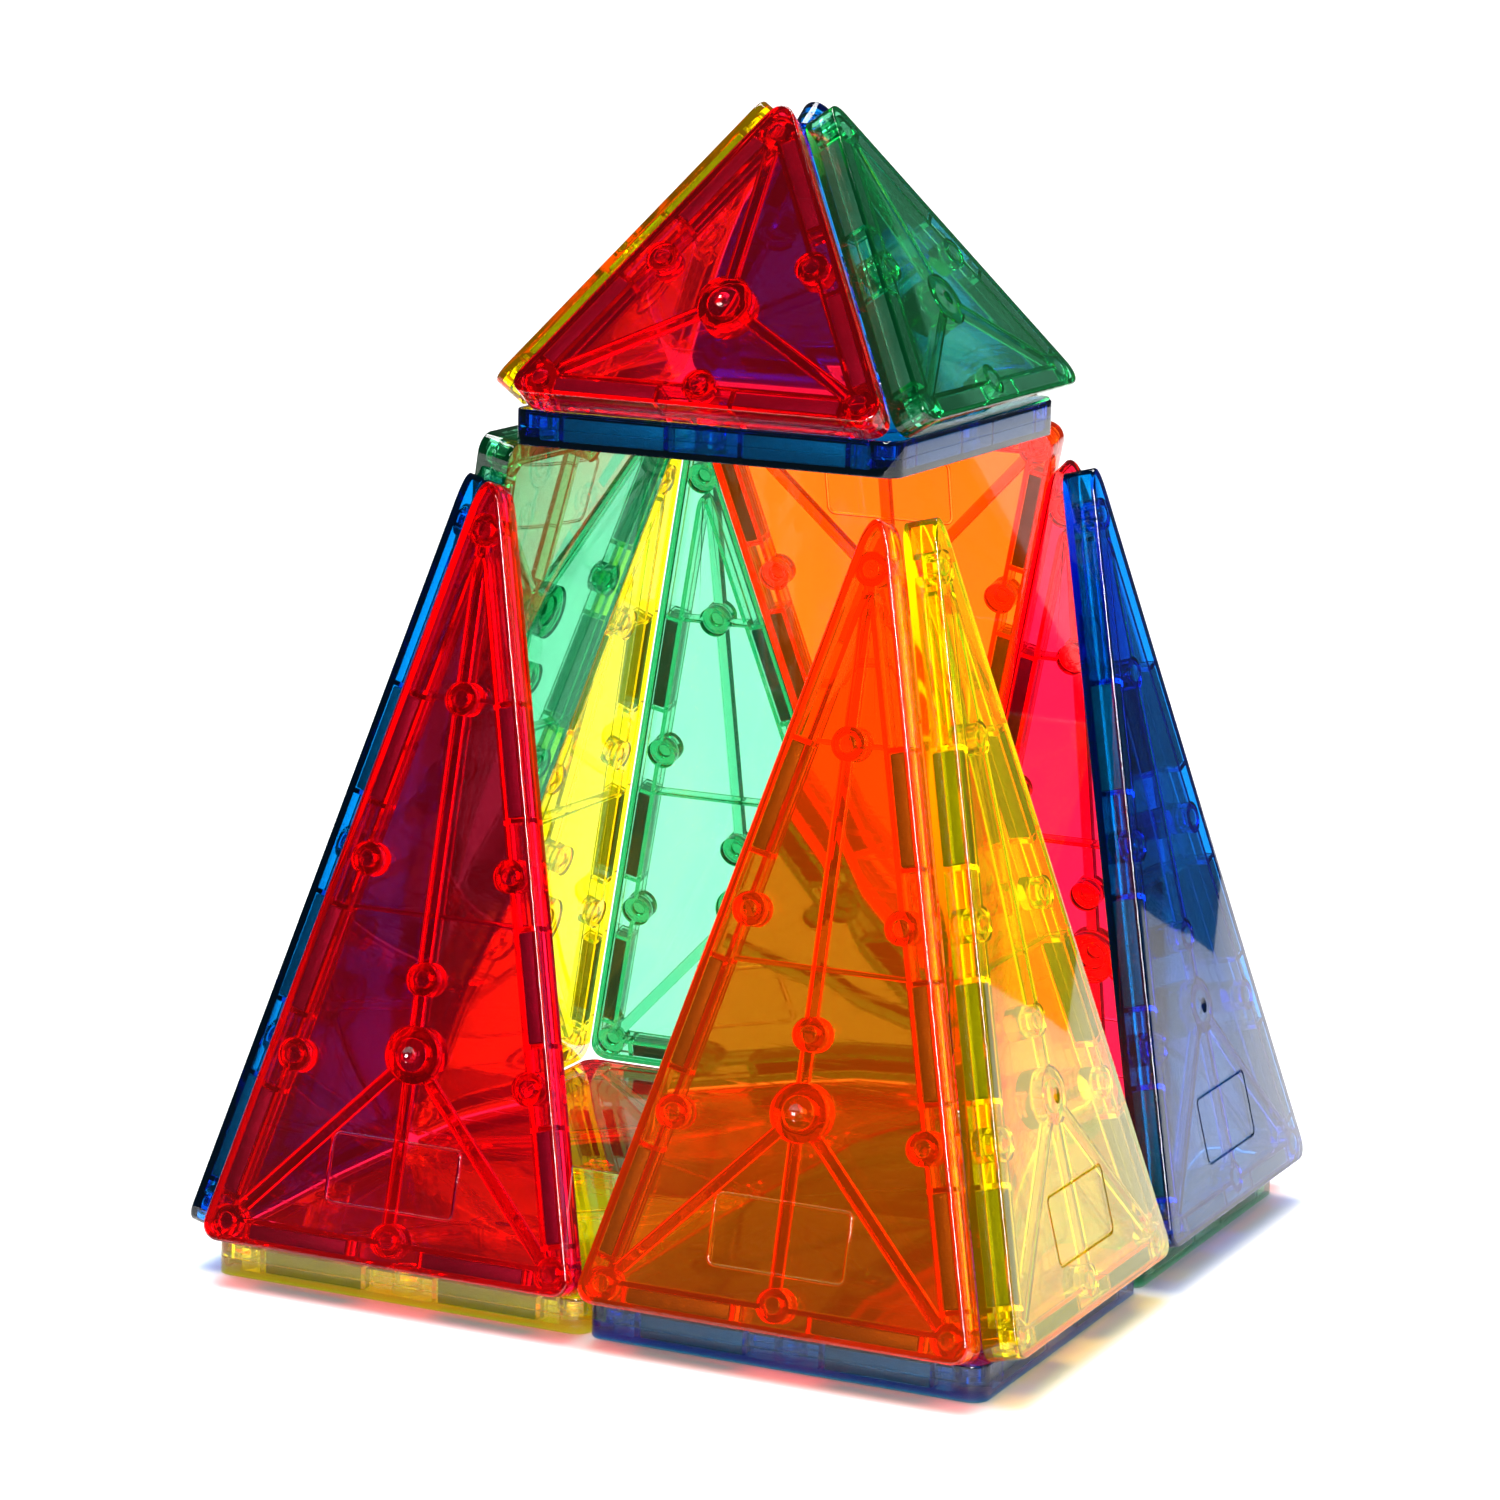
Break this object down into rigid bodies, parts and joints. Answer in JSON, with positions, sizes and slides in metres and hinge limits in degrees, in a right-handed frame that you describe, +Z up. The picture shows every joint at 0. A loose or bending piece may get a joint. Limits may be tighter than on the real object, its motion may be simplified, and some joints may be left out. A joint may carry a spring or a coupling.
{
  "type": "magnetic tile tower",
  "caption": "Tower of translucent magnetic building tiles: a square base, tall leaning walls with open doorways, and a pyramid roof.",
  "frame": {"origin": "middle of the footprint, on the table", "axes": "+Z up, -Y towards the front of the tower, +X to the right"},
  "size_m": [0.1626, 0.1626, 0.2101],
  "materials": {
    "red_plastic": "clear tinted, polished mould finish",
    "orange_plastic": "clear tinted, polished mould finish",
    "yellow_plastic": "clear tinted, polished mould finish",
    "green_plastic": "clear tinted, polished mould finish",
    "blue_plastic": "clear tinted, polished mould finish",
    "magnet": "dark grey sintered magnet, matte"
  },
  "bodies": {
    "base": {"base_front_left_outer_shell": "yellow_plastic", "base_front_left_inner_shell": "yellow_plastic", "base_front_left_magnets": "magnet", "base_front_right_outer_shell": "blue_plastic", "base_front_right_inner_shell": "blue_plastic", "base_front_right_magnets": "magnet", "base_rear_right_outer_shell": "green_plastic", "base_rear_right_inner_shell": "green_plastic", "base_rear_right_magnets": "magnet", "base_rear_left_outer_shell": "red_plastic", "base_rear_left_inner_shell": "red_plastic", "base_rear_left_magnets": "magnet"},
    "front_wall_left": {"front_wall_left_outer_shell": "red_plastic", "front_wall_left_inner_shell": "red_plastic", "front_wall_left_magnets": "magnet"},
    "front_wall_right": {"front_wall_right_outer_shell": "orange_plastic", "front_wall_right_inner_shell": "orange_plastic", "front_wall_right_magnets": "magnet"},
    "right_wall_front": {"right_wall_front_outer_shell": "yellow_plastic", "right_wall_front_inner_shell": "yellow_plastic", "right_wall_front_magnets": "magnet"},
    "right_wall_rear": {"right_wall_rear_outer_shell": "blue_plastic", "right_wall_rear_inner_shell": "blue_plastic", "right_wall_rear_magnets": "magnet"},
    "rear_wall_right": {"rear_wall_right_outer_shell": "red_plastic", "rear_wall_right_inner_shell": "red_plastic", "rear_wall_right_magnets": "magnet"},
    "rear_wall_left": {"rear_wall_left_outer_shell": "green_plastic", "rear_wall_left_inner_shell": "green_plastic", "rear_wall_left_magnets": "magnet"},
    "left_wall_rear": {"left_wall_rear_outer_shell": "yellow_plastic", "left_wall_rear_inner_shell": "yellow_plastic", "left_wall_rear_magnets": "magnet"},
    "left_wall_front": {"left_wall_front_outer_shell": "blue_plastic", "left_wall_front_inner_shell": "blue_plastic", "left_wall_front_magnets": "magnet"},
    "rear_wall_middle": {"rear_wall_middle_outer_shell": "orange_plastic", "rear_wall_middle_inner_shell": "orange_plastic", "rear_wall_middle_magnets": "magnet"},
    "left_wall_middle": {"left_wall_middle_outer_shell": "green_plastic", "left_wall_middle_inner_shell": "green_plastic", "left_wall_middle_magnets": "magnet"},
    "crown": {"crown_outer_shell": "blue_plastic", "crown_inner_shell": "blue_plastic", "crown_magnets": "magnet"},
    "roof_front": {"roof_front_outer_shell": "red_plastic", "roof_front_inner_shell": "red_plastic", "roof_front_magnets": "magnet"},
    "roof_right": {"roof_right_outer_shell": "green_plastic", "roof_right_inner_shell": "green_plastic", "roof_right_magnets": "magnet"},
    "roof_rear": {"roof_rear_outer_shell": "blue_plastic", "roof_rear_inner_shell": "blue_plastic", "roof_rear_magnets": "magnet"},
    "roof_left": {"roof_left_outer_shell": "yellow_plastic", "roof_left_inner_shell": "yellow_plastic", "roof_left_magnets": "magnet"}
  },
  "joints": [
    {"name": "front_wall_left_fold", "type": "hinge", "parent": "base", "child": "front_wall_left", "pos_m": [0, -0.075, 0.0065], "axis": [1, 0, 0], "range_deg": [0, 104.5]},
    {"name": "front_wall_right_fold", "type": "hinge", "parent": "base", "child": "front_wall_right", "pos_m": [0, -0.075, 0.0065], "axis": [1, 0, 0], "range_deg": [0, 104.5]},
    {"name": "right_wall_front_fold", "type": "hinge", "parent": "base", "child": "right_wall_front", "pos_m": [0.075, 0, 0.0065], "axis": [0, 1, 0], "range_deg": [0, 104.5]},
    {"name": "right_wall_rear_fold", "type": "hinge", "parent": "base", "child": "right_wall_rear", "pos_m": [0.075, 0, 0.0065], "axis": [0, 1, 0], "range_deg": [0, 104.5]},
    {"name": "rear_wall_right_fold", "type": "hinge", "parent": "base", "child": "rear_wall_right", "pos_m": [0, 0.075, 0.0065], "axis": [-1, 0, 0], "range_deg": [0, 104.5]},
    {"name": "rear_wall_left_fold", "type": "hinge", "parent": "base", "child": "rear_wall_left", "pos_m": [0, 0.075, 0.0065], "axis": [-1, 0, 0], "range_deg": [0, 104.5]},
    {"name": "left_wall_rear_fold", "type": "hinge", "parent": "base", "child": "left_wall_rear", "pos_m": [-0.075, 0, 0.0065], "axis": [0, -1, 0], "range_deg": [0, 104.5]},
    {"name": "left_wall_front_fold", "type": "hinge", "parent": "base", "child": "left_wall_front", "pos_m": [-0.075, 0, 0.0065], "axis": [0, -1, 0], "range_deg": [0, 104.5]},
    {"name": "crown_lift", "type": "slide", "parent": "base", "child": "crown", "axis": [0, 0, 1], "range_m": [0, 0.1]},
    {"name": "roof_front_fold", "type": "hinge", "parent": "crown", "child": "roof_front", "pos_m": [0, -0.0375, 0.15617], "axis": [1, 0, 0], "range_deg": [0, 125]},
    {"name": "roof_right_fold", "type": "hinge", "parent": "crown", "child": "roof_right", "pos_m": [0.0375, 0, 0.15617], "axis": [0, 1, 0], "range_deg": [0, 125]},
    {"name": "roof_rear_fold", "type": "hinge", "parent": "crown", "child": "roof_rear", "pos_m": [0, 0.0375, 0.15617], "axis": [-1, 0, 0], "range_deg": [0, 100]},
    {"name": "roof_left_fold", "type": "hinge", "parent": "crown", "child": "roof_left", "pos_m": [-0.0375, 0, 0.15617], "axis": [0, -1, 0], "range_deg": [0, 100]},
    {"name": "rear_wall_middle_fold", "type": "hinge", "parent": "crown", "child": "rear_wall_middle", "pos_m": [0, 0.0375, 0.14967], "axis": [-1, 0, 0], "range_deg": [-75, 0]},
    {"name": "left_wall_middle_fold", "type": "hinge", "parent": "crown", "child": "left_wall_middle", "pos_m": [-0.0375, 0, 0.14967], "axis": [0, -1, 0], "range_deg": [-75, 0]}
  ]
}
